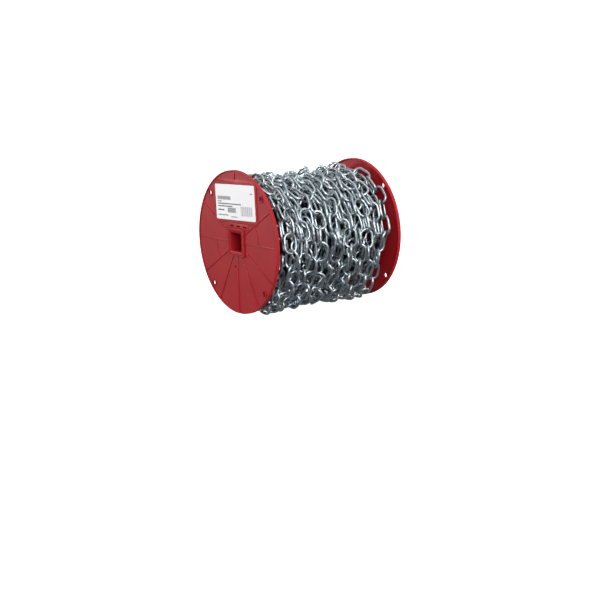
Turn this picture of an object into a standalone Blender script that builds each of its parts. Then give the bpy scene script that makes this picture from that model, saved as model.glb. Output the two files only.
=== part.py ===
"""Reel of welded steel chain: two moulded plastic flanges on a barrel, wound with chain.

Metres, +Z up. The reel lies on its two flange rims, its axis along X. The origin is on the
floor under the middle of the reel. The labelled flange faces -X.
"""
from math import cos, pi, radians, sin

import bmesh
import bpy
from mathutils import Matrix, Vector

# Flanges
FLANGE_RADIUS = 0.107
REEL_WIDTH = 0.2255           # outer rim plane to outer rim plane
RIM_SIDES = 64                # even, so one flat side lies on the floor
RIM_DEPTH = 0.0055
RIM_WALL = 0.002
WEB_DEPTH = 0.0014            # from the outer rim plane down to the web
WEB_THICKNESS = 0.0016
AXIS_HEIGHT = FLANGE_RADIUS * cos(pi / RIM_SIDES)

# Relief on a flange's outer face, as depths below the rim plane
BOSS_DEPTH = 0.0002
PAD_DEPTH = 0.0003
RIB_DEPTH = 0.0004
ARC_RIB_DEPTH = 0.0008
BRIDGE_DEPTH = 0.0010
ROOT_DEPTH = WEB_DEPTH + 0.0006  # how far the relief is sunk into the web
ROOT_STEP = 0.0002               # keeps the roots of pieces that cross off one plane
SLOT_DEPTH = WEB_DEPTH + 0.0006

RIB_WIDTH = 0.0018
RIB_START = 0.0195
RIB_ANGLES = (0, 30, 150, 180, 210, 240, 270, 300, 330)
TOP_RIB_START = 0.0920
ARC_RIB_RADIUS = 0.0568
ARC_RIB_WIDTH = 0.0012
ARC_RIB_STARTS = (0, 180)
ARC_RIB_ANGLE = 30
ARC_RIB_STEPS = 6

# Label pad and label, as seen from outside: right and up from the axis
PAD_LEFT, PAD_RIGHT = -0.0570, 0.0590
PAD_BOTTOM, PAD_TOP = 0.0272, 0.0935
LABEL_WIDTH, LABEL_HEIGHT, LABEL_THICKNESS = 0.1065, 0.0525, 0.0004
LABEL_RIGHT, LABEL_UP = 0.0008, 0.0593
LABEL_TURN = 2.0                 # degrees, because it was stuck on by hand
BRIDGE_LEFT, BRIDGE_RIGHT = -0.0270, 0.0330
BRIDGE_LAP = 0.0010              # how far the bridge runs into the hub and the pad
BRIDGE_SLOTS = (-0.0120, 0.0055, 0.0230)
SLOT_LENGTH, SLOT_WIDTH, SLOT_HEIGHT = 0.0095, 0.0018, 0.0240

# Hub and holes
HUB_SIDE = 0.041
HUB_PROUD = 0.0018
FUNNEL_SIDE = 0.0345
FUNNEL_DEPTH = 0.0015
ARBOR_SIDE = 0.028
HOLE_RADIUS = 0.0036
HOLE_BOSS_RADIUS = 0.0056
HOLE_CIRCLE = 0.0975
HOLE_ANGLES = (45, 135, 225, 315)
DRAIN_RADIUS = 0.0020
DRAIN_CIRCLE = 0.0382
DRAIN_ANGLE = -100.6
HOLE_SIDES = 12

# Barrel and chain
GAP = 0.0003                  # between pieces that touch
BARREL_RADIUS = 0.034
BARREL_SIDES = 24
RIDGE_RADIUS = 0.0768         # of the hidden layers, under each outer turn
VALLEY_RADIUS = 0.0690        # and between the turns
RIDGE_WIDTH = 0.0060
INNER_LAYERS_SIDES = 40
WIRE = 0.0040
LINK_PITCH = 0.0245           # inside length of a link
LINK_WIDTH = 0.0215           # outside width of a link
LINK_SHOULDER = 0.0055        # half the straight part of a link's side
TURNS = 12
TURN_SPACING = (REEL_WIDTH - 2 * RIM_DEPTH - LINK_WIDTH - 4 * GAP) / (TURNS - 1)
LINKS_PER_TURN = 20           # so far apart that each link's end runs into the next one's
TURN_RADIUS = 0.0880          # to the middle of the wire where the chain is tight
FLOOR_CLEARANCE = 0.0006
SLACK_POWER = 1.4
SLACK_STEP = 0.0007           # each turn hangs a little higher or lower than the next
SLACK_LEVELS = 3
TANGENT_STEP = 0.01           # radians either side of a link, for its direction


def clear_scene():
    for obj in list(bpy.data.objects):
        bpy.data.objects.remove(obj, do_unlink=True)


def material(name, colour, roughness, metallic=0.0):
    mat = bpy.data.materials.new(name)
    mat.use_nodes = True
    shader = mat.node_tree.nodes["Principled BSDF"]
    shader.inputs["Base Color"].default_value = (*colour, 1.0)
    shader.inputs["Roughness"].default_value = roughness
    shader.inputs["Metallic"].default_value = metallic
    return mat


def new_object(name, bm, mat=None):
    """Turn a bmesh into a named object with outward faces."""
    bmesh.ops.recalc_face_normals(bm, faces=bm.faces)
    mesh = bpy.data.meshes.new(name)
    bm.to_mesh(mesh)
    bm.free()
    obj = bpy.data.objects.new(name, mesh)
    bpy.context.scene.collection.objects.link(obj)
    if mat:
        mesh.materials.append(mat)
    return obj


def add_prism(bm, outline, x_start, x_end):
    """Extrude an outline of (right, up) points along X. Right is -Y."""
    start = [bm.verts.new((x_start, -right, up)) for right, up in outline]
    end = [bm.verts.new((x_end, -right, up)) for right, up in outline]
    bm.faces.new(start)
    bm.faces.new(list(reversed(end)))
    for i in range(len(outline)):
        j = (i + 1) % len(outline)
        bm.faces.new((start[j], start[i], end[i], end[j]))


def circle(radius, sides, centre=(0.0, 0.0)):
    """A regular polygon with a flat side at the bottom."""
    steps = [2 * pi * (i + 0.5) / sides - pi / 2 for i in range(sides)]
    return [(centre[0] + radius * cos(a), centre[1] + radius * sin(a)) for a in steps]


def rectangle(left, bottom, right, top):
    return [(left, bottom), (right, bottom), (right, top), (left, top)]


def square(side):
    return rectangle(-side / 2, -side / 2, side / 2, side / 2)


def radial_bar(angle, start, end, width):
    """Outline of a bar that runs outward from the axis at an angle in degrees."""
    along = Vector((cos(radians(angle)), sin(radians(angle))))
    across = Vector((-along.y, along.x)) * width / 2
    corners = (along * start - across, along * end - across,
               along * end + across, along * start + across)
    return [tuple(c) for c in corners]


def polar(radius, angle):
    return radius * cos(radians(angle)), radius * sin(radians(angle))


def combine(body, tool, operation):
    """Boolean the tool into the body at once, and delete the tool."""
    modifier = body.modifiers.new(operation.lower(), "BOOLEAN")
    modifier.operation = operation
    modifier.object = tool
    bpy.context.view_layer.update()
    evaluated = body.evaluated_get(bpy.context.evaluated_depsgraph_get())
    result = bpy.data.meshes.new_from_object(evaluated)
    body.modifiers.clear()
    body.data = result
    bpy.data.objects.remove(tool, do_unlink=True)


def shade(obj, angle=30):
    obj.data.shade_smooth()
    obj.data.set_sharp_from_angle(angle=radians(angle))


def flange_mesh(mat):
    """One flange, outer rim plane at x = 0. The lip stands proud of the web on both sides."""
    bm = bmesh.new()
    inside_lip = FLANGE_RADIUS - RIM_WALL
    profile = ((WEB_DEPTH + WEB_THICKNESS, inside_lip), (RIM_DEPTH, inside_lip),
               (RIM_DEPTH, FLANGE_RADIUS), (0.0, FLANGE_RADIUS),
               (0.0, inside_lip), (WEB_DEPTH, inside_lip))
    rings = []
    for x, radius in profile:
        rings.append([bm.verts.new((x, -right, up)) for right, up in circle(radius, RIM_SIDES)])
    bm.faces.new(rings[0])
    bm.faces.new(rings[-1])
    for ring, inner in zip(rings, rings[1:]):
        for i in range(RIM_SIDES):
            j = (i + 1) % RIM_SIDES
            bm.faces.new((ring[i], ring[j], inner[j], inner[i]))
    flange = new_object("near_flange", bm, mat)

    pad = bmesh.new()
    add_prism(pad, rectangle(PAD_LEFT, PAD_BOTTOM, PAD_RIGHT, PAD_TOP), PAD_DEPTH, ROOT_DEPTH)
    pad = new_object("pad", pad)
    disc = bmesh.new()
    add_prism(disc, circle(FLANGE_RADIUS - RIM_WALL / 2, RIM_SIDES), -RIM_DEPTH, 2 * RIM_DEPTH)
    combine(pad, new_object("disc", disc), "INTERSECT")
    combine(flange, pad, "UNION")

    ribs = bmesh.new()
    rib_end = FLANGE_RADIUS - RIM_WALL / 2
    for angle in RIB_ANGLES:
        add_prism(ribs, radial_bar(angle, RIB_START, rib_end, RIB_WIDTH), RIB_DEPTH, ROOT_DEPTH)
    add_prism(ribs, radial_bar(90, TOP_RIB_START, rib_end, RIB_WIDTH), RIB_DEPTH, ROOT_DEPTH)
    combine(flange, new_object("ribs", ribs), "UNION")

    arcs = bmesh.new()
    for start in ARC_RIB_STARTS:
        angles = [start + ARC_RIB_ANGLE * i / ARC_RIB_STEPS for i in range(ARC_RIB_STEPS + 1)]
        outline = [polar(ARC_RIB_RADIUS + ARC_RIB_WIDTH / 2, a) for a in angles]
        outline += [polar(ARC_RIB_RADIUS - ARC_RIB_WIDTH / 2, a) for a in reversed(angles)]
        add_prism(arcs, outline, ARC_RIB_DEPTH, ROOT_DEPTH + ROOT_STEP)
    combine(flange, new_object("arc_ribs", arcs), "UNION")

    bridge = bmesh.new()
    add_prism(bridge, rectangle(BRIDGE_LEFT, HUB_SIDE / 2 - BRIDGE_LAP,
                                BRIDGE_RIGHT, PAD_BOTTOM + BRIDGE_LAP),
              BRIDGE_DEPTH, ROOT_DEPTH + 2 * ROOT_STEP)
    combine(flange, new_object("bridge", bridge), "UNION")

    bosses = bmesh.new()
    for angle in HOLE_ANGLES:
        add_prism(bosses, circle(HOLE_BOSS_RADIUS, HOLE_SIDES, polar(HOLE_CIRCLE, angle)),
                  BOSS_DEPTH, ROOT_DEPTH)
    combine(flange, new_object("bosses", bosses), "UNION")

    hub = bmesh.new()
    add_prism(hub, square(HUB_SIDE), -HUB_PROUD, RIM_DEPTH)
    combine(flange, new_object("hub", hub), "UNION")

    funnel = bmesh.new()
    mouth = FUNNEL_SIDE - ARBOR_SIDE
    top_side = FUNNEL_SIDE + mouth * HUB_PROUD / FUNNEL_DEPTH
    sides = ((-2 * HUB_PROUD, top_side), (FUNNEL_DEPTH - HUB_PROUD, ARBOR_SIDE),
             (2 * RIM_DEPTH, ARBOR_SIDE))
    loops = []
    for x, side in sides:
        loops.append([funnel.verts.new((x, -right, up)) for right, up in square(side)])
    funnel.faces.new(loops[0])
    funnel.faces.new(loops[-1])
    for loop, following in zip(loops, loops[1:]):
        for i in range(4):
            j = (i + 1) % 4
            funnel.faces.new((loop[i], loop[j], following[j], following[i]))
    combine(flange, new_object("funnel", funnel), "DIFFERENCE")

    holes = bmesh.new()
    for angle in HOLE_ANGLES:
        add_prism(holes, circle(HOLE_RADIUS, HOLE_SIDES, polar(HOLE_CIRCLE, angle)),
                  -RIM_DEPTH, 2 * RIM_DEPTH)
    add_prism(holes, circle(DRAIN_RADIUS, HOLE_SIDES, polar(DRAIN_CIRCLE, DRAIN_ANGLE)),
              -RIM_DEPTH, 2 * RIM_DEPTH)
    for centre in BRIDGE_SLOTS:
        add_prism(holes, rectangle(centre - SLOT_LENGTH / 2, SLOT_HEIGHT - SLOT_WIDTH / 2,
                                   centre + SLOT_LENGTH / 2, SLOT_HEIGHT + SLOT_WIDTH / 2),
                  -RIM_DEPTH, SLOT_DEPTH)
    combine(flange, new_object("holes", holes), "DIFFERENCE")
    shade(flange)
    return flange


def barrel(mat):
    """The hollow shaft between the flanges, with the square arbor way through it."""
    half = REEL_WIDTH / 2 - RIM_DEPTH - GAP
    bm = bmesh.new()
    add_prism(bm, circle(BARREL_RADIUS, BARREL_SIDES), -half, half)
    body = new_object("barrel", bm, mat)
    bore = bmesh.new()
    add_prism(bore, square(ARBOR_SIDE), -REEL_WIDTH, REEL_WIDTH)
    combine(body, new_object("bore", bore), "DIFFERENCE")
    body.location.z = AXIS_HEIGHT
    shade(body)


def label(mat):
    bm = bmesh.new()
    x_start = -REEL_WIDTH / 2 + PAD_DEPTH - GAP - LABEL_THICKNESS
    centre, turn = Vector((LABEL_RIGHT, LABEL_UP)), Matrix.Rotation(radians(LABEL_TURN), 2)
    outline = rectangle(-LABEL_WIDTH / 2, -LABEL_HEIGHT / 2, LABEL_WIDTH / 2, LABEL_HEIGHT / 2)
    outline = [tuple(centre + turn @ Vector(corner)) for corner in outline]
    add_prism(bm, outline, x_start, x_start + LABEL_THICKNESS)
    new_object("label", bm, mat).location.z = AXIS_HEIGHT


def turn_middle(index):
    """Where along the axis an outer turn lies."""
    return TURN_SPACING * (index - (TURNS - 1) / 2)


def inner_layers(mat):
    """The hidden layers of chain, as one turned solid with a ridge under each outer turn."""
    half = REEL_WIDTH / 2 - WEB_DEPTH - WEB_THICKNESS - GAP
    profile = [(-half, VALLEY_RADIUS)]
    for index in range(TURNS):
        middle = turn_middle(index)
        profile += [(middle - RIDGE_WIDTH / 2, RIDGE_RADIUS),
                    (middle + RIDGE_WIDTH / 2, RIDGE_RADIUS)]
        if index < TURNS - 1:
            profile.append((middle + TURN_SPACING / 2, VALLEY_RADIUS))
    profile += [(half, VALLEY_RADIUS), (half, BARREL_RADIUS + GAP), (-half, BARREL_RADIUS + GAP)]
    bm = bmesh.new()
    rings = []
    for x, radius in profile:
        outline = circle(radius, INNER_LAYERS_SIDES)
        rings.append([bm.verts.new((x, -right, up)) for right, up in outline])
    for ring, following in zip(rings, rings[1:] + rings[:1]):
        for i in range(INNER_LAYERS_SIDES):
            j = (i + 1) % INNER_LAYERS_SIDES
            bm.faces.new((ring[i], ring[j], following[j], following[i]))
    body = new_object("chain_inner_layers", bm, mat)
    body.location.z = AXIS_HEIGHT
    shade(body)


def turn_point(angle, slack):
    """Middle of the chain in the plane of one turn: round on top, slack underneath."""
    radius = TURN_RADIUS + slack * ((1 - sin(angle)) / 2) ** SLACK_POWER
    return Vector((0.0, radius * cos(angle), radius * sin(angle)))


def link_frame(angle, slack, x):
    """Local X across the strand, Y along it and Z away from the axis."""
    ahead = turn_point(angle + TANGENT_STEP, slack)
    behind = turn_point(angle - TANGENT_STEP, slack)
    along = (ahead - behind).normalized()
    across = Vector((1.0, 0.0, 0.0))
    outward = across.cross(along)
    frame = Matrix((across, along, outward)).transposed().to_4x4()
    frame.translation = turn_point(angle, slack) + Vector((x, 0.0, AXIS_HEIGHT))
    return frame


def link_outline(offset):
    """Six corners of a link's plan, offset from the middle of its wire."""
    half_width = (LINK_WIDTH - WIRE) / 2 + offset
    tip = (LINK_PITCH + WIRE) / 2 + offset
    return [(half_width, -LINK_SHOULDER), (half_width, LINK_SHOULDER), (0.0, tip),
            (-half_width, LINK_SHOULDER), (-half_width, -LINK_SHOULDER), (0.0, -tip)]


def add_link(bm, frame):
    """An open link in its frame's XY plane, its long side along Y."""
    loops = []
    for offset, height in ((WIRE / 2, -WIRE / 2), (WIRE / 2, WIRE / 2),
                           (-WIRE / 2, WIRE / 2), (-WIRE / 2, -WIRE / 2)):
        corners = link_outline(offset)
        loops.append([bm.verts.new(frame @ Vector((x, y, height))) for x, y in corners])
    for loop, following in zip(loops, loops[1:] + loops[:1]):
        for i in range(len(loop)):
            j = (i + 1) % len(loop)
            bm.faces.new((loop[i], loop[j], following[j], following[i]))


def chain_turn(index, mat):
    """One outer turn: flat and standing links in turn, fused where they hook together."""
    deepest = AXIS_HEIGHT - TURN_RADIUS - LINK_WIDTH / 2 - FLOOR_CLEARANCE
    slack = deepest - SLACK_STEP * (index % SLACK_LEVELS)
    on_edge = Matrix.Rotation(pi / 2, 4, "Y")
    flat, standing = bmesh.new(), bmesh.new()
    for k in range(LINKS_PER_TURN):
        frame = link_frame(2 * pi * k / LINKS_PER_TURN, slack, turn_middle(index))
        if (k + index) % 2:
            add_link(flat, frame)
        else:
            add_link(standing, frame @ on_edge)
    turn = new_object(f"chain_turn_{index + 1:02d}", flat, mat)
    combine(turn, new_object("standing_links", standing), "UNION")


def main():
    clear_scene()
    red_plastic = material("red_plastic", (0.42, 0.030, 0.035), 0.38)
    paper = material("label_paper", (0.93, 0.92, 0.91), 0.6)
    zinc = material("zinc_plated_steel", (0.52, 0.55, 0.58), 0.28, 1.0)

    near = flange_mesh(red_plastic)
    near.location = (-REEL_WIDTH / 2, 0.0, AXIS_HEIGHT)
    far = bpy.data.objects.new("far_flange", near.data)
    bpy.context.scene.collection.objects.link(far)
    far.location = (REEL_WIDTH / 2, 0.0, AXIS_HEIGHT)
    far.rotation_euler.z = pi

    barrel(red_plastic)
    label(paper)
    inner_layers(zinc)
    for index in range(TURNS):
        chain_turn(index, zinc)


main()
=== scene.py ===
"""Looks for the reel of steel chain: moulded flanges, a plain paper label and the wound chain.

Metres, +Z up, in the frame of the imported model: the reel's axis runs along X and the labelled
flange faces -X. Places on a flange are given as seen from outside, as right and up from the
axis, and as a depth from the outer rim plane towards the middle of the reel.
"""
from math import cos, pi, radians, sin

import bmesh
import bpy
import numpy as np
from mathutils import Matrix, Vector

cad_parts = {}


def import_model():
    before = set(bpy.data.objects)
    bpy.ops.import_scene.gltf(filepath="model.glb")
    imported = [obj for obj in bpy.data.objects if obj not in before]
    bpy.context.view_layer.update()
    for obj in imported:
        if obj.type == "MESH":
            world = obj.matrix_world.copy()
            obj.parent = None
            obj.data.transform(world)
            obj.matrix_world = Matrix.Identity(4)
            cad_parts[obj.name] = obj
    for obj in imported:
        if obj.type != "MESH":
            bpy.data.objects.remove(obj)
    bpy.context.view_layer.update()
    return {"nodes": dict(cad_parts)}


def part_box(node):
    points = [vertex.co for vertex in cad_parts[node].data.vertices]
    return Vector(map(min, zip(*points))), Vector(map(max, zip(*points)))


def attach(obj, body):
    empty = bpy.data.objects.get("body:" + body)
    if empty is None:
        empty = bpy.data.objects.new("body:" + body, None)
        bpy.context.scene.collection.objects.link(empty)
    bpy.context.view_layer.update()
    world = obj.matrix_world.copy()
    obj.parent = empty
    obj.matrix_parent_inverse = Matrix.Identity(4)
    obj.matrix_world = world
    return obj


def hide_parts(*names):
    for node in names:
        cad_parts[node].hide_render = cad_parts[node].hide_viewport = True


MM = 0.001

# Flanges, as in the CAD model
HUB_PROUD = 1.8 * MM
RIM_DEPTH = 5.5 * MM
RIM_WALL = 2.0 * MM
WEB_DEPTH = 1.4 * MM
WEB_THICKNESS = 1.6 * MM
BOSS_DEPTH = 0.2 * MM
PAD_DEPTH = 0.3 * MM
RIB_DEPTH = 0.4 * MM
ARC_RIB_DEPTH = 0.8 * MM
BRIDGE_DEPTH = 1.0 * MM
SLOT_DEPTH = 2.0 * MM
RIB_WIDTH = 1.8 * MM
RIB_START = 19.5 * MM
RIB_ANGLES = (0, 30, 150, 180, 210, 240, 270, 300, 330)
TOP_RIB_ANGLE = 90
TOP_RIB_START = 92.0 * MM
ARC_RIB_RADIUS = 56.8 * MM
ARC_RIB_WIDTH = 1.2 * MM
ARC_RIB_STARTS = (0, 180)
ARC_RIB_ANGLE = 30
PAD_LEFT, PAD_RIGHT = -57.0 * MM, 59.0 * MM
PAD_BOTTOM, PAD_TOP = 27.2 * MM, 93.5 * MM
BRIDGE_LEFT, BRIDGE_RIGHT = -27.0 * MM, 33.0 * MM
BRIDGE_SLOTS = (-12.0 * MM, 5.5 * MM, 23.0 * MM)
SLOT_LENGTH, SLOT_WIDTH, SLOT_HEIGHT = 9.5 * MM, 1.8 * MM, 24.0 * MM
HUB_SIDE = 41.0 * MM
FUNNEL_SIDE = 34.5 * MM
FUNNEL_DEPTH = 1.5 * MM
ARBOR_SIDE = 28.0 * MM
HOLE_RADIUS = 3.6 * MM
HOLE_BOSS_RADIUS = 5.6 * MM
HOLE_CIRCLE = 97.5 * MM
HOLE_ANGLES = (45, 135, 225, 315)
DRAIN_RADIUS = 2.0 * MM
DRAIN_CIRCLE = 38.2 * MM
DRAIN_ANGLE = -100.6

# Moulding detail that the CAD model leaves out
RIM_SEGMENTS = 192
RIM_ROUND = 0.5 * MM
EDGE = 0.35 * MM
ROOT = WEB_DEPTH + 0.8 * MM   # inside the web, where raised detail starts
GROOVE_WIDTH = 0.9 * MM
GROOVE_DEPTH = 0.9 * MM
PAD_CORNER = 1.5 * MM
HUB_CORNER = 1.2 * MM
HUB_LAND = 2.2 * MM
SEAM_WIDTH, SEAM_DEPTH = 0.6 * MM, 1.2 * MM
HOLE_SEGMENTS = 32
CORNER_STEPS = 5
ARC_STEPS = 12

# Label
LABEL_WIDTH, LABEL_HEIGHT = 106.5 * MM, 52.5 * MM
LABEL_RIGHT, LABEL_UP = 0.8 * MM, 59.3 * MM
LABEL_TURN = 2.0              # degrees, because it was stuck on by hand
LABEL_CORNER = 2.2 * MM
LABEL_DEPTH = 0.0
INK_THICKNESS = 0.03 * MM
# Printed blocks, as left, bottom, right and top in shares of the label
PALE_BLOCKS = ((0.05, 0.56, 0.39, 0.66), (0.05, 0.49, 0.15, 0.53), (0.30, 0.20, 0.51, 0.34),
               (0.38, 0.07, 0.54, 0.10), (0.89, 0.74, 0.95, 0.78))
DARK_BLOCKS = ((0.05, 0.43, 0.65, 0.46), (0.05, 0.36, 0.43, 0.39), (0.05, 0.25, 0.21, 0.285),
               (0.05, 0.11, 0.31, 0.135))
STRIPES, STRIPES_LEFT, STRIPE_SPACING = 13, 0.64, 0.023
STRIPES_BOTTOM, STRIPES_TOP = 0.13, 0.40
STRIPE_SHARES = (0.35, 0.65)  # of the spacing that a stripe takes, in turn

# Chain
WIRE = 4.0 * MM
LINK_PITCH = 24.5 * MM
LINK_WIDTH = 21.5 * MM
ARC_RADIUS = (LINK_WIDTH - WIRE) / 2
HALF_STRAIGHT = (LINK_PITCH + 2 * WIRE - LINK_WIDTH) / 2
WELD_SWELL = 0.15
# Rings of the weld bulge, as millimetres along the wire and the wire's size there
WELD_RINGS = ((-2.6, 1.0), (-1.7, 1.07), (-0.7, 1.15), (0.7, 1.15), (1.7, 1.07), (2.6, 1.0))

# Meshes of a link: steps round each end, sides of the wire, and whether the weld shows
OUTER_DETAIL, INNER_DETAIL = (10, 10, True), (6, 8, False)

# Winding: two layers of links round a core, laid as helices and then settled
SEED = 11
TURNS = 13                    # of each layer
LINK_SPACING = 0.985 * LINK_PITCH
WINDING_HALF = 94.5 * MM
CORE_RADIUS = 66.5 * MM
CORE_RISE = 8.0 * MM          # of the hidden layers, towards both flanges
NEAR_EXTRA_RISE = 3.0 * MM    # more of it at the labelled flange
BORE_RADIUS = 34.3 * MM       # clear of the barrel
CORE_STEPS, CORE_SIDES = 160, 96
RIDGE_HEIGHT, LINK_BUMPS, BUMP_HEIGHT = 3.0 * MM, 10, 1.5 * MM
INNER_RADIUS = 78.0 * MM
OUTER_RADIUS = 90.0 * MM
END_RISE = 8.0 * MM
OUTER_SLACK = 8.0 * MM
SLACK_POWER = 1.4
HELIX_STEPS = 40000
WANDER, RADIUS_NOISE = 2.0 * MM, 0.8 * MM
WANDER_LINKS, NOISE_LINKS, SWING_LINKS = 3.0, 2.0, 9.0      # links over which each changes
SINGLE_SWING = 0.35           # share of the swing that each link adds by itself
SIDE_GAP = 0.3 * MM
FLOOR_GAP = 0.4 * MM
PATH_STEPS = 5
GYRATION_SQUARED = (9.5 * MM) ** 2
LINK_REACH = 33.5 * MM
SEARCH_MARGIN = 3.0 * MM
INNER_ROUNDS, OUTER_ROUNDS = 160, 420
INNER_START, OUTER_START = radians(60), radians(200)
INNER_SWING, OUTER_SWING = 0.45, 0.30       # radians that the chain rolls about its own line
INNER_GROWING, OUTER_GROWING = 60, 80       # rounds in which the wires grow to full size
FIRST_WIRE, WIRE_GROWTH = 0.8, 0.2          # shares of the wire: at first, and gained later
RESTING_ROUNDS, RESTING_DAMPING = 80, 0.5   # the last rounds, without pull or weight
SEARCH_EVERY, SEARCH_BATCH = 8, 1500
PULL, WEIGHT = 3e-6, 5e-6                   # metres a round
DAMPING = 0.9
LARGEST_SHIFT, LARGEST_SPIN = 1.0 * MM, 0.08
LARGEST_SPEED, LARGEST_TWIST = 0.6 * MM, 0.05

# Camera, fitted to both flange outlines in the photograph, whose frame is 600 x 600
FRAME_PIXELS = 600
CAMERA_AZIMUTH = -34.588
CAMERA_ELEVATION = 8.21
CAMERA_ROLL = -1.997
CAMERA_DISTANCE = 2209.5 * MM
FOCAL_PIXELS = 1454.8
CENTRE_X, CENTRE_Y = 298.98, 233.91
SENSOR = 36.0

# Studio: each light's name, place in metres, side in metres and power in watts
LIGHTS = (("relief", (-1.3, 1.2, 0.35), 0.5, 13.0),
          ("front", (-0.6, -2.0, 0.9), 1.6, 42.0),
          ("top", (0.4, -0.3, 2.0), 1.4, 10.0),
          ("right", (2.0, -1.3, 0.5), 1.2, 13.0))
LIGHT_TARGET = (0.0, 0.0, 0.1)
BACKDROP_STRENGTH, STUDIO_STRENGTH = 1.05, 0.6
STUDIO_LOW, STUDIO_HIGH = (0.30, 0.31, 0.33, 1.0), (0.95, 0.98, 1.0, 1.0)
FLOOR_RADIUS = 8.0

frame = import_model()
near_low, near_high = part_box("near_flange")
AXIS = (near_low.z + near_high.z) / 2
HALF_WIDTH = -near_low.x - HUB_PROUD
FLANGE_RADIUS = AXIS
CHAIN_HALF = HALF_WIDTH - RIM_DEPTH - SIDE_GAP


# Meshes

def new_object(name, mesh, mats, body="root"):
    for mat in mats:
        mesh.materials.append(mat)
    obj = bpy.data.objects.new(name, mesh)
    bpy.context.scene.collection.objects.link(obj)
    if body:
        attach(obj, body)
    return obj


def mesh_from(bm, name, smooth_angle=35):
    bmesh.ops.recalc_face_normals(bm, faces=bm.faces)
    mesh = bpy.data.meshes.new(name)
    bm.to_mesh(mesh)
    bm.free()
    mesh.shade_smooth()
    mesh.set_sharp_from_angle(angle=radians(smooth_angle))
    return mesh


def circle(radius, sides, centre=(0.0, 0.0)):
    angles = [2 * pi * (i + 0.5) / sides - pi / 2 for i in range(sides)]
    return [(centre[0] + radius * cos(a), centre[1] + radius * sin(a)) for a in angles]


def rounded_rectangle(left, bottom, right, top, corner, steps=CORNER_STEPS):
    """Anticlockwise outline of a rectangle with rounded corners."""
    centres = ((right - corner, bottom + corner), (right - corner, top - corner),
               (left + corner, top - corner), (left + corner, bottom + corner))
    points = []
    for quarter, (x, y) in enumerate(centres):
        for i in range(steps + 1):
            a = pi / 2 * (quarter - 1 + i / steps)
            points.append((x + corner * cos(a), y + corner * sin(a)))
    return points


def rounded_square(side, corner):
    half = side / 2
    return rounded_rectangle(-half, -half, half, half, corner)


def bar(angle, start, end, width):
    """Outline of a bar that runs outward from the axis at an angle in degrees."""
    along = Vector((cos(radians(angle)), sin(radians(angle))))
    across = Vector((-along.y, along.x)) * width / 2
    corners = (along * start - across, along * end - across,
               along * end + across, along * start + across)
    return [tuple(c) for c in corners]


def arc_band(radius, width, start, angle, steps):
    """Outline of a bar bent round the axis, from one angle in degrees over another."""
    angles = [radians(start + angle * i / steps) for i in range(steps + 1)]
    outer, inner = radius + width / 2, radius - width / 2
    outline = [(outer * cos(a), outer * sin(a)) for a in angles]
    return outline + [(inner * cos(a), inner * sin(a)) for a in reversed(angles)]


def within_circle(outline, radius, steps=8):
    """The outline cut back to a circle about the axis, with extra points along its sides."""
    points = []
    for i, start in enumerate(outline):
        end = outline[(i + 1) % len(outline)]
        for k in range(steps):
            x = start[0] + (end[0] - start[0]) * k / steps
            y = start[1] + (end[1] - start[1]) * k / steps
            scale = min(1.0, radius / (x * x + y * y) ** 0.5)
            points.append((x * scale, y * scale))
    return points


def inset(outline, distance):
    """An anticlockwise outline moved inward, each corner along its mitre."""
    result = []
    for i in range(len(outline)):
        before, here, after = (Vector(outline[k % len(outline)]) for k in (i - 1, i, i + 1))
        arriving, leaving = (here - before).normalized(), (after - here).normalized()
        side_a = Vector((-arriving.y, arriving.x))
        side_b = Vector((-leaving.y, leaving.x))
        mitre = (side_a + side_b) / (1 + side_a.dot(side_b))
        result.append(tuple(here + mitre * distance))
    return result


def add_loft(bm, rings, closed=False):
    """Join outlines at their depths. A closed loft is a tube; an open one is capped."""
    loops = []
    for outline, depth in rings:
        loops.append([bm.verts.new((depth, -right, up)) for right, up in outline])
    pairs = list(zip(loops, loops[1:]))
    if closed:
        pairs.append((loops[-1], loops[0]))
    else:
        bm.faces.new(loops[0])
        bm.faces.new(loops[-1])
    for loop, following in pairs:
        for i in range(len(loop)):
            j = (i + 1) % len(loop)
            bm.faces.new((loop[i], loop[j], following[j], following[i]))


def add_relief(bm, outline, top, edge=EDGE):
    """Raise a block with eased top edges from inside the web to its top depth."""
    add_loft(bm, [(outline, ROOT), (outline, top + edge),
                  (inset(outline, 0.3 * edge), top + 0.3 * edge), (inset(outline, edge), top)])


def cut(body, tool):
    """Take the tool's shape out of the body at once, and delete the tool."""
    modifier = body.modifiers.new("cut", "BOOLEAN")
    modifier.operation = "DIFFERENCE"
    modifier.object = tool
    bpy.context.view_layer.update()
    evaluated = body.evaluated_get(bpy.context.evaluated_depsgraph_get())
    result = bpy.data.meshes.new_from_object(evaluated)
    bpy.data.objects.remove(tool, do_unlink=True)
    bpy.data.objects.remove(body, do_unlink=True)
    return result


def temporary(bm, name):
    bmesh.ops.recalc_face_normals(bm, faces=bm.faces)
    mesh = bpy.data.meshes.new(name)
    bm.to_mesh(mesh)
    bm.free()
    obj = bpy.data.objects.new(name, mesh)
    bpy.context.scene.collection.objects.link(obj)
    return obj


def add_slots(bm, start, end):
    for centre in BRIDGE_SLOTS:
        outline = rounded_rectangle(centre - SLOT_LENGTH / 2, SLOT_HEIGHT - SLOT_WIDTH / 2,
                                    centre + SLOT_LENGTH / 2, SLOT_HEIGHT + SLOT_WIDTH / 2,
                                    SLOT_WIDTH / 4, 3)
        add_loft(bm, [(outline, start), (outline, end)])


def polar(radius, angle):
    return radius * cos(radians(angle)), radius * sin(radians(angle))


# Flanges

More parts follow.
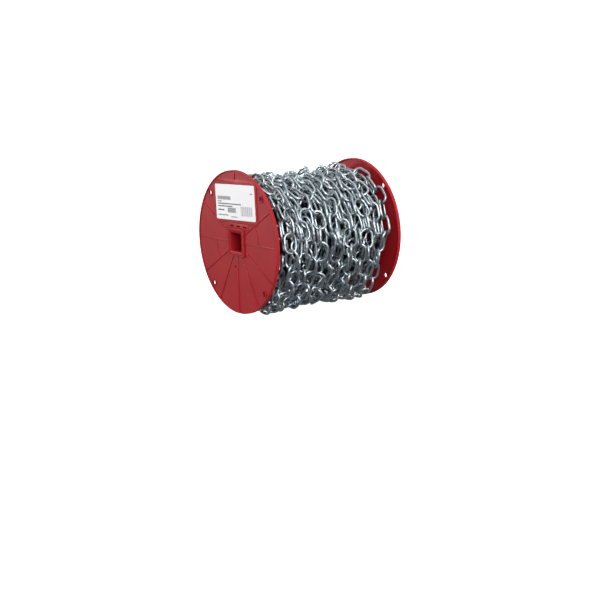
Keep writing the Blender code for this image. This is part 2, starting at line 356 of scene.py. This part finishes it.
def web_mesh():
    """The flange's flat web, with its holes cut through and its slots sunk in."""
    web = bmesh.new()
    outline = circle(FLANGE_RADIUS - RIM_WALL / 2, RIM_SEGMENTS)
    add_loft(web, [(outline, WEB_DEPTH), (outline, WEB_DEPTH + WEB_THICKNESS)])
    holes = bmesh.new()
    through = (-RIM_DEPTH, 2 * RIM_DEPTH)
    outlines = [rounded_square((HUB_SIDE + ARBOR_SIDE) / 2, HUB_CORNER),
                circle(DRAIN_RADIUS, HOLE_SEGMENTS, polar(DRAIN_CIRCLE, DRAIN_ANGLE))]
    for angle in HOLE_ANGLES:
        outlines.append(circle((HOLE_RADIUS + HOLE_BOSS_RADIUS) / 2, HOLE_SEGMENTS,
                               polar(HOLE_CIRCLE, angle)))
    for outline in outlines:
        add_loft(holes, [(outline, through[0]), (outline, through[1])])
    add_slots(holes, -RIM_DEPTH, SLOT_DEPTH)
    return cut(temporary(web, "web"), temporary(holes, "holes"))


def bridge_mesh():
    """The low block between the hub and the label pad, with three narrow slots."""
    bridge = bmesh.new()
    add_relief(bridge, rounded_rectangle(BRIDGE_LEFT, HUB_SIDE / 2 - MM, BRIDGE_RIGHT,
                                         PAD_BOTTOM + MM, MM), BRIDGE_DEPTH)
    slots = bmesh.new()
    add_slots(slots, -RIM_DEPTH, SLOT_DEPTH)
    return cut(temporary(bridge, "bridge"), temporary(slots, "slots"))


def add_hub(bm):
    """Square frame round the arbor hole, with a seam line and a shallow funnel to the hole."""
    front = -HUB_PROUD
    seam_out = HUB_SIDE - 2 * HUB_LAND
    seam_in = seam_out - 2 * SEAM_WIDTH
    sides = ((HUB_SIDE, RIM_DEPTH), (HUB_SIDE, front + EDGE), (HUB_SIDE - EDGE, front),
             (seam_out + EDGE, front), (seam_out, front + EDGE), (seam_out, front + SEAM_DEPTH),
             (seam_in, front + SEAM_DEPTH), (seam_in, front + EDGE), (seam_in - EDGE, front),
             (FUNNEL_SIDE + EDGE, front), (FUNNEL_SIDE, front + EDGE / 2),
             (ARBOR_SIDE, front + FUNNEL_DEPTH), (ARBOR_SIDE, RIM_DEPTH))
    rings = [(rounded_square(side, HUB_CORNER * side / HUB_SIDE), depth) for side, depth in sides]
    add_loft(bm, rings, closed=True)


def add_hole_boss(bm, centre):
    """Raised ring round a tie hole, which also lines the hole."""
    back = WEB_DEPTH + WEB_THICKNESS + EDGE / 2
    profile = ((HOLE_BOSS_RADIUS, back - EDGE), (HOLE_BOSS_RADIUS, BOSS_DEPTH + EDGE),
               (HOLE_BOSS_RADIUS - EDGE, BOSS_DEPTH), (HOLE_RADIUS + EDGE, BOSS_DEPTH),
               (HOLE_RADIUS, BOSS_DEPTH + EDGE), (HOLE_RADIUS, back),
               (HOLE_RADIUS + 2 * EDGE, back))
    rings = [(circle(radius, HOLE_SEGMENTS, centre), depth) for radius, depth in profile]
    add_loft(bm, rings, closed=True)


def add_pad(bm):
    """The label pad: a plate with a groove round the label's place."""
    edge_circle = FLANGE_RADIUS - RIM_WALL / 2
    pad = rounded_rectangle(PAD_LEFT, PAD_BOTTOM, PAD_RIGHT, PAD_TOP, PAD_CORNER)
    pad = within_circle(pad, edge_circle)
    add_relief(bm, pad, PAD_DEPTH + GROOVE_DEPTH, edge=EDGE / 2)
    inner = label_outline()
    add_relief(bm, inner, PAD_DEPTH, edge=EDGE / 3)
    window = inset(inner, -GROOVE_WIDTH)
    frame_outline = matched(pad, window)
    top, root = PAD_DEPTH, ROOT - EDGE
    add_loft(bm, [(frame_outline, root), (frame_outline, top + EDGE),
                  (inset(frame_outline, EDGE), top), (inset(window, -EDGE / 2), top),
                  (window, top + EDGE / 2), (window, root)], closed=True)


def on_label(outline):
    """Move an outline from the label's own middle and tilt to the flange."""
    centre, turn = Vector((LABEL_RIGHT, LABEL_UP)), Matrix.Rotation(radians(LABEL_TURN), 2)
    return [tuple(centre + turn @ Vector(point)) for point in outline]


def label_outline():
    return on_label(rounded_rectangle(-LABEL_WIDTH / 2, -LABEL_HEIGHT / 2,
                                      LABEL_WIDTH / 2, LABEL_HEIGHT / 2, LABEL_CORNER))


def matched(outline, window):
    """Points of the outline, one for each point of the window, by direction from its middle."""
    centre = Vector((LABEL_RIGHT, LABEL_UP))
    sides = [(Vector(a) - centre, Vector(b) - centre)
             for a, b in zip(outline, outline[1:] + outline[:1])]
    points = []
    for point in window:
        ray = Vector(point) - centre
        for start, end in sides:
            step = end - start
            turn = ray.x * step.y - ray.y * step.x
            if abs(turn) < 1e-12:
                continue
            along = (start.x * step.y - start.y * step.x) / turn
            share = (start.x * ray.y - start.y * ray.x) / turn
            if along > 0 and -1e-6 <= share <= 1 + 1e-6:
                points.append(tuple(centre + ray * along))
                break
    return points


def flange_mesh():
    bm = bmesh.new()
    for mesh in (web_mesh(), bridge_mesh()):
        bm.from_mesh(mesh)
        bpy.data.meshes.remove(mesh)
    lip = rounded_rectangle(FLANGE_RADIUS - RIM_WALL, 0.0, FLANGE_RADIUS, RIM_DEPTH, RIM_ROUND, 3)
    add_loft(bm, [(circle(radius, RIM_SEGMENTS), depth) for radius, depth in lip], closed=True)
    rib_end = FLANGE_RADIUS - RIM_WALL / 2
    for angle in RIB_ANGLES:
        add_relief(bm, bar(angle, RIB_START, rib_end, RIB_WIDTH), RIB_DEPTH)
    add_relief(bm, bar(TOP_RIB_ANGLE, TOP_RIB_START, rib_end, RIB_WIDTH), RIB_DEPTH)
    for start in ARC_RIB_STARTS:
        add_relief(bm, arc_band(ARC_RIB_RADIUS, ARC_RIB_WIDTH, start, ARC_RIB_ANGLE, ARC_STEPS),
                   ARC_RIB_DEPTH, edge=EDGE / 2)
    add_pad(bm)
    add_hub(bm)
    for angle in HOLE_ANGLES:
        add_hole_boss(bm, polar(HOLE_CIRCLE, angle))
    return mesh_from(bm, "flange")


def flanges(mat):
    mesh = flange_mesh()
    far_mesh = mesh.copy()
    mesh.transform(Matrix.Translation((-HALF_WIDTH, 0.0, AXIS)))
    far_mesh.transform(Matrix.Translation((HALF_WIDTH, 0.0, AXIS)) @ Matrix.Rotation(pi, 4, "Z"))
    near = new_object("near_flange_moulding", mesh, [mat])
    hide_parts("near_flange")
    far = new_object("far_flange_moulding", far_mesh, [mat])
    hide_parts("far_flange")


# Label

def label_block(bm, left, bottom, right, top):
    """A printed block, from shares of the label's width and height."""
    corners = ((left, bottom), (right, bottom), (right, top), (left, top))
    outline = on_label([(LABEL_WIDTH * (x - 0.5), LABEL_HEIGHT * (y - 0.5)) for x, y in corners])
    add_loft(bm, [(outline, LABEL_DEPTH + INK_THICKNESS),
                  (outline, LABEL_DEPTH - INK_THICKNESS)])


def label(paper, pale_ink, dark_ink):
    bm = bmesh.new()
    outline = label_outline()
    add_loft(bm, [(outline, PAD_DEPTH + INK_THICKNESS), (outline, LABEL_DEPTH)])
    place = Matrix.Translation((-HALF_WIDTH, 0.0, AXIS))
    mesh = mesh_from(bm, "label_sheet")
    mesh.transform(place)
    sheet = new_object("label_sheet", mesh, [paper])
    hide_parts("label")
    pale, dark = bmesh.new(), bmesh.new()
    for block in PALE_BLOCKS:
        label_block(pale, *block)
    for block in DARK_BLOCKS:
        label_block(dark, *block)
    for i in range(STRIPES):
        left = STRIPES_LEFT + STRIPE_SPACING * i
        right = left + STRIPE_SPACING * STRIPE_SHARES[i % 2]
        label_block(pale, left, STRIPES_BOTTOM, right, STRIPES_TOP)
    for name, bm, mat in (("label_pale_bars", pale, pale_ink), ("label_dark_bars", dark, dark_ink)):
        mesh = mesh_from(bm, name)
        mesh.transform(place)
        new_object(name, mesh, [mat])


# Winding

def link_path(steps):
    """Middle of a link's wire in its own XY plane, long side along Y."""
    angles = np.arange(steps + 1) * pi / steps
    top = np.stack([ARC_RADIUS * np.cos(angles), HALF_STRAIGHT + ARC_RADIUS * np.sin(angles)], 1)
    return np.concatenate([top, -top])


def rotate(turns, vectors):
    """Turn vectors by unit quaternions (w, x, y, z)."""
    axis = turns[..., 1:]
    twist = 2 * np.cross(axis, vectors)
    return vectors + turns[..., :1] * twist + np.cross(axis, twist)


def multiply(a, b):
    real = a[:, 0] * b[:, 0] - (a[:, 1:] * b[:, 1:]).sum(1)
    rest = a[:, :1] * b[:, 1:] + b[:, :1] * a[:, 1:] + np.cross(a[:, 1:], b[:, 1:])
    return np.column_stack([real, rest])


def unit(vectors):
    return vectors / np.linalg.norm(vectors, axis=-1, keepdims=True)


def turned(turns, small_turn):
    """Quaternions after a small turn, given as a rotation vector."""
    return unit(multiply(np.column_stack([np.ones(len(turns)), small_turn / 2]), turns))


def clamp_length(vectors, limit):
    length = np.linalg.norm(vectors, axis=1, keepdims=True)
    return vectors * np.minimum(1, limit / np.maximum(length, 1e-12))


def turns_from_axes(x_axis, y_axis, z_axis):
    """Quaternions of the frames with these axes."""
    m = np.stack([x_axis, y_axis, z_axis], -1)
    xx, yy, zz = m[:, 0, 0], m[:, 1, 1], m[:, 2, 2]
    squares = np.stack([1 + xx + yy + zz, 1 + xx - yy - zz, 1 - xx + yy - zz, 1 - xx - yy + zz], 1)
    wx, wy, wz = m[:, 2, 1] - m[:, 1, 2], m[:, 0, 2] - m[:, 2, 0], m[:, 1, 0] - m[:, 0, 1]
    xy, xz, yz = m[:, 1, 0] + m[:, 0, 1], m[:, 0, 2] + m[:, 2, 0], m[:, 2, 1] + m[:, 1, 2]
    table = np.stack([np.stack([squares[:, 0], wx, wy, wz], 1),
                      np.stack([wx, squares[:, 1], xy, xz], 1),
                      np.stack([wy, xy, squares[:, 2], yz], 1),
                      np.stack([wz, xz, yz, squares[:, 3]], 1)], 1)
    return unit(table[np.arange(len(m)), squares.argmax(1)])


def closest_points(p, q, r, s):
    """Nearest points of segments p-q and r-s, all at once."""
    first, second, between = q - p, s - r, p - r
    a, e = (first * first).sum(1), (second * second).sum(1)
    b, c = (first * second).sum(1), (first * between).sum(1)
    f = (second * between).sum(1)
    spread = a * e - b * b
    u = np.where(spread > 1e-16, np.clip((b * f - c * e) / np.maximum(spread, 1e-16), 0, 1), 0.5)
    t = np.clip((b * u + f) / e, 0, 1)
    u = np.clip((b * t - c) / a, 0, 1)
    return p + u[:, None] * first, r + t[:, None] * second


LINK = np.column_stack([link_path(PATH_STEPS), np.zeros(2 * PATH_STEPS + 2)])
HALF_SEGMENTS = np.linalg.norm(np.roll(LINK, -1, 0) - LINK, axis=1) / 2


def core_radius(x):
    """The hidden layers are piled higher against both flanges."""
    rise = np.where(np.asarray(x) < 0, CORE_RISE + NEAR_EXTRA_RISE, CORE_RISE)
    return CORE_RADIUS + rise * np.abs(x / CHAIN_HALF) ** 3


class Winding:
    """Rigid links that push each other apart where their wires overlap."""

    def __init__(self, centres, turns, loose):
        self.x, self.q = centres.copy(), turns.copy()
        self.loose = loose.astype(float)
        self.v, self.w = np.zeros_like(centres), np.zeros_like(centres)
        self.update()

    def update(self):
        self.wire = self.x[:, None] + rotate(self.q[:, None], LINK[None])

    def find_neighbours(self):
        """List the pairs of wire segments that may touch in the next rounds."""
        i, j = np.triu_indices(len(self.x), 1)
        near = ((self.x[i] - self.x[j]) ** 2).sum(1) < (LINK_REACH + SEARCH_MARGIN) ** 2
        near &= (self.loose[i] + self.loose[j]) > 0
        i, j = i[near], j[near]
        middles = (self.wire + np.roll(self.wire, -1, 1)) / 2
        limit = (HALF_SEGMENTS[:, None] + HALF_SEGMENTS[None] + WIRE + SEARCH_MARGIN) ** 2
        found = []
        for start in range(0, len(i), SEARCH_BATCH):
            a, b = i[start:start + SEARCH_BATCH], j[start:start + SEARCH_BATCH]
            gaps = ((middles[a][:, :, None] - middles[b][:, None]) ** 2).sum(-1)
            k, m, n = np.nonzero(gaps < limit)
            found.append(np.stack([a[k], m, b[k], n]))
        self.pairs = np.concatenate(found, 1)

    def step(self, wire, pull):
        """Move every loose link once, then take out the overlaps that are left."""
        count, old_x = len(self.x), self.x.copy()
        loose = self.loose > 0
        self.x = self.x + np.where(loose[:, None], self.v + pull, 0)
        self.q = turned(self.q, self.w)
        self.update()
        shift, spin, hits = np.zeros((count, 3)), np.zeros((count, 3)), np.zeros(count)

        def push(link, point, normal, depth, other=None, other_point=None):
            arm = np.cross(point - self.x[link], normal)
            ease = self.loose[link] * (1 + (arm ** 2).sum(1) / GYRATION_SQUARED)
            if other is not None:
                other_arm = np.cross(other_point - self.x[other], normal)
                ease = ease + self.loose[other] * (1 + (other_arm ** 2).sum(1) / GYRATION_SQUARED)
            amount = depth / np.maximum(ease, 1e-12)
            move(link, amount, normal, arm)
            if other is not None:
                move(other, -amount, normal, other_arm)

        def move(link, amount, normal, arm):
            scaled = (amount * self.loose[link])[:, None]
            for axis in range(3):
                shift[:, axis] += np.bincount(link, scaled[:, 0] * normal[:, axis], count)
                spin[:, axis] += np.bincount(
                    link, scaled[:, 0] * arm[:, axis] / GYRATION_SQUARED, count)
            hits[:] += np.bincount(link, minlength=count)

        def wall(depth, normal):
            link, point = np.nonzero((depth > 0) & loose[:, None])
            if len(link):
                push(link, points[link, point], normal[link, point], depth[link, point])

        a, m, b, n = self.pairs
        points = self.wire
        following = np.roll(points, -1, 1)
        here, there = closest_points(points[a, m], following[a, m], points[b, n], following[b, n])
        apart = here - there
        distance = np.linalg.norm(apart, axis=1)
        hit = distance < wire
        push(a[hit], here[hit], apart[hit] / np.maximum(distance[hit], 1e-6)[:, None],
             wire - distance[hit], b[hit], there[hit])

        x, y, z = points[:, :, 0], points[:, :, 1], points[:, :, 2]
        radius = np.hypot(y, z)
        zero = np.zeros_like(x)
        wall(core_radius(x) + wire / 2 - radius, np.stack([zero, y / radius, z / radius], -1))
        wall(np.abs(x) + wire / 2 - CHAIN_HALF, np.stack([-np.sign(x), zero, zero], -1))
        wall(FLOOR_GAP - AXIS - z + wire / 2, np.stack([zero, zero, zero + 1], -1))

        ease = (DAMPING / np.maximum(hits, 1) ** 0.5)[:, None]
        shift = clamp_length(shift * ease, LARGEST_SHIFT)
        spin = clamp_length(spin * ease, LARGEST_SPIN)
        self.x = self.x + shift
        self.q = turned(self.q, spin)
        self.v = DAMPING * clamp_length(self.x - old_x, LARGEST_SPEED) * loose[:, None]
        self.w = DAMPING * clamp_length(self.w + spin, LARGEST_TWIST) * loose[:, None]
        self.update()

    def inward(self):
        direction = self.x * (0, 1, 1)
        return -unit(direction)


def smooth_noise(count, spacing, rng):
    """Random values along the chain that change smoothly over a few links."""
    knots = rng.normal(size=int(count / spacing) + 4)
    place = np.arange(count) / spacing + 1
    low = place.astype(int)
    share = place - low
    share = share * share * (3 - 2 * share)
    return knots[low] * (1 - share) + knots[low + 1] * share


def lay_chain(radius, slack, end_rise, phase, direction, roll_swing, rng):
    """Centres and turns of links laid end to end along a helix."""
    angle = np.linspace(0, 2 * pi * TURNS, HELIX_STEPS)
    x = direction * WINDING_HALF * (2 * angle / angle[-1] - 1)
    r = radius + end_rise * np.abs(x / WINDING_HALF) ** 2
    r = r + slack * ((1 - np.sin(angle + phase)) / 2) ** SLACK_POWER
    line = np.stack([x, r * np.cos(angle + phase), r * np.sin(angle + phase)], 1)
    length = np.concatenate([[0], np.cumsum(np.linalg.norm(np.diff(line, axis=0), axis=1))])
    count = int(length[-1] // LINK_SPACING)
    stops = np.arange(count + 1) * LINK_SPACING
    joints = np.stack([np.interp(stops, length, line[:, axis]) for axis in range(3)], 1)
    joints[:, 0] += WANDER * smooth_noise(count + 1, WANDER_LINKS, rng)
    noise = RADIUS_NOISE * smooth_noise(count + 1, NOISE_LINKS, rng)
    swell = 1 + noise / np.hypot(joints[:, 1], joints[:, 2])
    joints[:, 1:] *= swell[:, None]
    centres, along = (joints[1:] + joints[:-1]) / 2, unit(joints[1:] - joints[:-1])
    outward = centres * (0, 1, 1)
    outward = unit(outward - (outward * along).sum(1, keepdims=True) * along)
    across = np.cross(along, outward)
    roll = pi / 2 * (np.arange(count) % 2) + roll_swing * smooth_noise(count, SWING_LINKS, rng)
    roll = (roll + SINGLE_SWING * roll_swing * rng.normal(size=count))[:, None]
    x_axis = np.cos(roll) * across + np.sin(roll) * outward
    return centres, turns_from_axes(x_axis, along, np.cross(x_axis, along))


def wind_chain():
    """Lay and settle both layers. Returns link centres, turns and how many are inner ones."""
    rng = np.random.default_rng(SEED)
    inner_x, inner_q = lay_chain(INNER_RADIUS, 0.0, CORE_RISE, INNER_START, -1, INNER_SWING, rng)
    outer_x, outer_q = lay_chain(OUTER_RADIUS, OUTER_SLACK, END_RISE, OUTER_START, 1,
                                 OUTER_SWING, rng)
    inner_count = len(inner_x)
    inner = Winding(inner_x, inner_q, np.ones(inner_count))
    settle(inner, INNER_ROUNDS, INNER_GROWING, 0.0)
    both = Winding(np.concatenate([inner.x, outer_x]), np.concatenate([inner.q, outer_q]),
                   np.arange(inner_count + len(outer_x)) >= inner_count)
    settle(both, OUTER_ROUNDS, OUTER_GROWING, WEIGHT)
    return both.x, both.q, inner_count


def settle(winding, rounds, growing, weight):
    """Let the wires grow to full size while the links are pulled inward and down."""
    resting = min(RESTING_ROUNDS, rounds // 2)
    for turn in range(rounds):
        if turn % SEARCH_EVERY == 0:
            winding.find_neighbours()
        wire = WIRE * min(1.0, FIRST_WIRE + WIRE_GROWTH * turn / min(growing, rounds / 2))
        pull = winding.inward() * PULL + np.array([0.0, 0.0, -weight])
        if weight and turn > rounds - resting:
            pull = 0.0
            winding.v *= RESTING_DAMPING
        winding.step(wire, pull)


# Links

def link_rings(arc_steps, weld):
    """Middles of a link's wire rings, the wire's size at each, and how near each is to the weld."""
    path = link_path(arc_steps)
    middles = [(x, y, 1.0, 0.0) for x, y in path]
    if weld:
        side = path[-1][0]
        extra = [(side, -offset * MM, scale, (scale - 1) / WELD_SWELL) for offset, scale in WELD_RINGS]
        if middles[-1][1] > middles[0][1]:
            extra.reverse()
        middles += sorted(extra, key=lambda ring: ring[1])
    return middles


def link_mesh(arc_steps, sides, weld):
    """Points, faces and weld values of one link in its own frame."""
    rings = np.array(link_rings(arc_steps, weld))
    middles, scales, welds = rings[:, :2], rings[:, 2], rings[:, 3]
    along = unit(np.roll(middles, -1, 0) - np.roll(middles, 1, 0))
    outward = np.stack([along[:, 1], -along[:, 0]], 1)
    around = np.arange(sides) * 2 * pi / sides
    points = np.zeros((len(rings), sides, 3))
    reach = (scales * WIRE / 2)[:, None]
    points[:, :, :2] = middles[:, None] + outward[:, None] * (np.cos(around)[None] * reach)[..., None]
    points[:, :, 2] = np.sin(around)[None] * reach
    i, j = np.arange(len(rings))[:, None], np.arange(sides)[None]
    i_next, j_next = (i + 1) % len(rings), (j + 1) % sides
    faces = np.stack([i * sides + j, i_next * sides + j, i_next * sides + j_next,
                      i * sides + j_next], -1).reshape(-1, 4)
    return points.reshape(-1, 3), faces, np.repeat(welds, sides)


def chain_piece(name, centres, turns, detail, mat, replaced):
    points, faces, welds = link_mesh(*detail)
    count = len(centres)
    placed = centres[:, None] + rotate(turns[:, None], points[None])
    placed[:, :, 2] += AXIS
    every = (faces[None] + np.arange(count)[:, None, None] * len(points)).reshape(-1, 4)
    mesh = bpy.data.meshes.new(name)
    mesh.from_pydata(placed.reshape(-1, 3).tolist(), [], every.tolist())
    rng = np.random.default_rng(SEED)
    tones = np.repeat(rng.random(count), len(points))
    for attribute, values in (("tone", tones), ("weld", np.tile(welds, count))):
        layer = mesh.attributes.new(attribute, "FLOAT", "POINT")
        layer.data.foreach_set("value", values.astype(np.float32))
    mesh.shade_smooth()
    piece = new_object(name, mesh, [mat])
    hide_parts(*replaced)


def core_mesh():
    """The hidden layers: a wound surface whose ridges follow the turns beneath."""
    bm = bmesh.new()
    angles = [2 * pi * k / CORE_SIDES for k in range(CORE_SIDES)]
    rings = []
    for i in range(CORE_STEPS + 1):
        x = CHAIN_HALF * (2 * i / CORE_STEPS - 1)
        outline = []
        for angle in angles:
            ridge = abs(sin(pi * x * TURNS / (2 * WINDING_HALF) + angle / 2))
            links = abs(sin(LINK_BUMPS * angle))
            radius = float(core_radius(x)) - RIDGE_HEIGHT * ridge - BUMP_HEIGHT * links
            outline.append((radius * cos(angle), radius * sin(angle)))
        rings.append((outline, x))
    bore = [(BORE_RADIUS * cos(angle), BORE_RADIUS * sin(angle)) for angle in angles]
    add_loft(bm, rings + [(bore, CHAIN_HALF), (bore, -CHAIN_HALF)], closed=True)
    mesh = mesh_from(bm, "hidden_layers")
    mesh.transform(Matrix.Translation((0.0, 0.0, AXIS)))
    return mesh


def chain(zinc, shade_painted_zinc):
    centres, turns, inner = wind_chain()
    turn_nodes = sorted(name for name in frame["nodes"] if name.startswith("chain_turn_"))
    chain_piece("wound_chain", centres[inner:], turns[inner:], OUTER_DETAIL, zinc, turn_nodes)
    chain_piece("under_layer", centres[:inner], turns[:inner], INNER_DETAIL, zinc,
                ["chain_inner_layers"])
    # The hidden layers' zinc is painted near black: painted shade for the deep gaps between the turns,
    # where the real chain is the same bright zinc.
    core = new_object("hidden_layers", core_mesh(), [shade_painted_zinc])
    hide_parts("chain_inner_layers")


# Materials

class Material:
    """A Principled material and short ways to feed its sockets from procedural nodes."""

    def __init__(self, name, roughness, metallic=0.0):
        self.data = bpy.data.materials.new(name)
        self.data.use_nodes = True
        self.tree = self.data.node_tree
        self.shader = self.tree.nodes["Principled BSDF"]
        self.shader.inputs["Roughness"].default_value = roughness
        self.shader.inputs["Metallic"].default_value = metallic
        self.place = self.tree.nodes.new("ShaderNodeTexCoord").outputs["Object"]

    def link(self, output, socket):
        self.tree.links.new(output, socket)

    def noise(self, scale, detail=3.0, roughness=0.5):
        node = self.tree.nodes.new("ShaderNodeTexNoise")
        node.inputs["Scale"].default_value = scale
        node.inputs["Detail"].default_value = detail
        node.inputs["Roughness"].default_value = roughness
        self.link(self.place, node.inputs["Vector"])
        return node.outputs["Fac"]

    def attribute(self, name):
        node = self.tree.nodes.new("ShaderNodeAttribute")
        node.attribute_name = name
        return node.outputs["Fac"]

    def spread(self, output, low, high, start=0.3, end=0.7):
        """Map a value's usual range onto another range."""
        node = self.tree.nodes.new("ShaderNodeMapRange")
        node.inputs["From Min"].default_value = start
        node.inputs["From Max"].default_value = end
        node.inputs["To Min"].default_value = low
        node.inputs["To Max"].default_value = high
        self.link(output, node.inputs["Value"])
        return node.outputs["Result"]

    def mix(self, share, first, second):
        """Mix two colours, each a socket or an (r, g, b)."""
        node = self.tree.nodes.new("ShaderNodeMix")
        node.data_type = "RGBA"
        self.link(share, node.inputs[0])
        for socket, colour in ((node.inputs[6], first), (node.inputs[7], second)):
            if isinstance(colour, tuple):
                socket.default_value = (*colour, 1.0)
            else:
                self.link(colour, socket)
        return node.outputs[2]

    def feed(self, socket, output):
        self.link(output, self.shader.inputs[socket])

    def bump(self, height, distance, strength=1.0):
        node = self.tree.nodes.new("ShaderNodeBump")
        node.inputs["Distance"].default_value = distance
        node.inputs["Strength"].default_value = strength
        self.link(height, node.inputs["Height"])
        self.link(node.outputs["Normal"], self.shader.inputs["Normal"])


def red_plastic():
    mat = Material("red_plastic", 0.4)
    mat.shader.inputs["Specular IOR Level"].default_value = 0.18
    flow = mat.spread(mat.noise(18.0), 0.0, 1.0)
    mat.feed("Base Color", mat.mix(flow, (0.345, 0.0095, 0.014), (0.395, 0.0125, 0.018)))
    mat.feed("Roughness", mat.spread(mat.noise(60.0, 5.0), 0.36, 0.48))
    mat.bump(mat.noise(420.0, 4.0), 0.04 * MM)
    return mat.data


def zinc(name="zinc_plate", dark=(0.34, 0.40, 0.43), light=(0.50, 0.56, 0.60)):
    mat = Material(name, 0.25, 1.0)
    plating = mat.mix(mat.spread(mat.noise(140.0, 4.0), 0.0, 1.0), dark, light)
    tone = mat.spread(mat.attribute("tone"), 0.0, 0.35, 0.0, 1.0)
    plating = mat.mix(tone, plating, (0.56, 0.57, 0.56))
    weld = mat.spread(mat.attribute("weld"), 0.0, 0.5, 0.3, 1.0)
    mat.feed("Base Color", mat.mix(weld, plating, (0.26, 0.27, 0.28)))
    mat.feed("Roughness", mat.spread(mat.noise(320.0, 5.0), 0.26, 0.42))
    mat.bump(mat.noise(900.0, 4.0), 0.05 * MM)
    return mat.data


def paper():
    mat = Material("label_paper", 0.55)
    mat.feed("Base Color", mat.mix(mat.spread(mat.noise(40.0), 0.0, 1.0),
                                   (0.95, 0.93, 0.93), (0.98, 0.96, 0.96)))
    mat.bump(mat.noise(1500.0, 5.0), 0.02 * MM)
    return mat.data


def ink(name, colour):
    mat = Material(name, 0.5)
    worn = tuple(min(1.0, 1.25 * c) for c in colour)
    mat.feed("Base Color", mat.mix(mat.spread(mat.noise(900.0, 4.0), 0.0, 1.0), colour, worn))
    return mat.data


# Stage, lights and camera

def stage():
    floor_mat = Material("stage_floor", 0.8)
    floor_mat.shader.inputs["Base Color"].default_value = (0.9, 0.9, 0.9, 1.0)
    floor_mat.shader.inputs["Emission Color"].default_value = (1.0, 1.0, 1.0, 1.0)
    floor_mat.shader.inputs["Emission Strength"].default_value = 1.0
    bm = bmesh.new()
    bmesh.ops.create_circle(bm, cap_ends=True, segments=64, radius=FLOOR_RADIUS)
    mesh = bpy.data.meshes.new("floor")
    bm.to_mesh(mesh)
    bm.free()
    floor = new_object("floor", mesh, [floor_mat.data], body=None)
    floor.visible_glossy = False
    floor.visible_diffuse = False


def world():
    """White to the camera, and a studio that darkens downward for light and reflections."""
    bpy.context.scene.view_settings.view_transform = "Standard"
    data = bpy.data.worlds.new("studio")
    bpy.context.scene.world = data
    data.use_nodes = True
    nodes, links = data.node_tree.nodes, data.node_tree.links
    white = nodes["Background"]
    white.inputs["Color"].default_value = (1.0, 1.0, 1.0, 1.0)
    white.inputs["Strength"].default_value = BACKDROP_STRENGTH
    studio = nodes.new("ShaderNodeBackground")
    studio.inputs["Strength"].default_value = STUDIO_STRENGTH
    coordinates = nodes.new("ShaderNodeTexCoord")
    split = nodes.new("ShaderNodeSeparateXYZ")
    ramp = nodes.new("ShaderNodeValToRGB")
    elements = ramp.color_ramp.elements
    elements[0].position, elements[0].color = 0.30, STUDIO_LOW
    elements[1].position, elements[1].color = 0.60, STUDIO_HIGH
    half = nodes.new("ShaderNodeMapRange")
    half.inputs["From Min"].default_value = -1.0
    links.new(coordinates.outputs["Generated"], split.inputs["Vector"])
    links.new(split.outputs["Z"], half.inputs["Value"])
    links.new(half.outputs["Result"], ramp.inputs["Fac"])
    links.new(ramp.outputs["Color"], studio.inputs["Color"])
    path = nodes.new("ShaderNodeLightPath")
    mix = nodes.new("ShaderNodeMixShader")
    links.new(path.outputs["Is Camera Ray"], mix.inputs["Fac"])
    links.new(studio.outputs["Background"], mix.inputs[1])
    links.new(white.outputs["Background"], mix.inputs[2])
    links.new(mix.outputs["Shader"], nodes["World Output"].inputs["Surface"])


def area_light(name, place, size, power):
    data = bpy.data.lights.new(name, "AREA")
    data.size = size
    data.energy = power
    obj = bpy.data.objects.new(name, data)
    obj.location = place
    obj.rotation_euler = (Vector(LIGHT_TARGET) - Vector(place)).to_track_quat("-Z", "Y").to_euler()
    bpy.context.scene.collection.objects.link(obj)


def lights():
    for light in LIGHTS:
        area_light(*light)


def camera():
    azimuth, elevation = radians(CAMERA_AZIMUTH), radians(CAMERA_ELEVATION)
    roll = radians(CAMERA_ROLL)
    back = Vector((sin(azimuth) * cos(elevation), -cos(azimuth) * cos(elevation), sin(elevation)))
    level = Vector((cos(azimuth), sin(azimuth), 0.0))
    upright = back.cross(level)
    right = cos(roll) * level + sin(roll) * upright
    up = cos(roll) * upright - sin(roll) * level
    place = Matrix((right, up, back)).transposed().to_4x4()
    place.translation = Vector((0.0, 0.0, AXIS)) + back * CAMERA_DISTANCE
    data = bpy.data.cameras.new("camera")
    data.sensor_width = SENSOR
    data.lens = FOCAL_PIXELS / FRAME_PIXELS * SENSOR
    data.shift_x = (FRAME_PIXELS / 2 - CENTRE_X) / FRAME_PIXELS
    data.shift_y = (CENTRE_Y - FRAME_PIXELS / 2) / FRAME_PIXELS
    obj = bpy.data.objects.new("camera", data)
    obj.matrix_world = place
    bpy.context.scene.collection.objects.link(obj)
    bpy.context.scene.camera = obj


def main():
    camera()
    red = red_plastic()
    flanges(red)
    frame["nodes"]["barrel"].data.materials[0] = red
    label(paper(), ink("pale_ink", (0.30, 0.30, 0.31)), ink("dark_ink", (0.06, 0.06, 0.065)))
    # The second zinc is painted near black, as painted shade on the hidden layers.
    chain(zinc(), zinc("painted_shade_zinc", (0.02, 0.022, 0.025), (0.05, 0.053, 0.056)))
    stage()
    world()
    lights()


main()
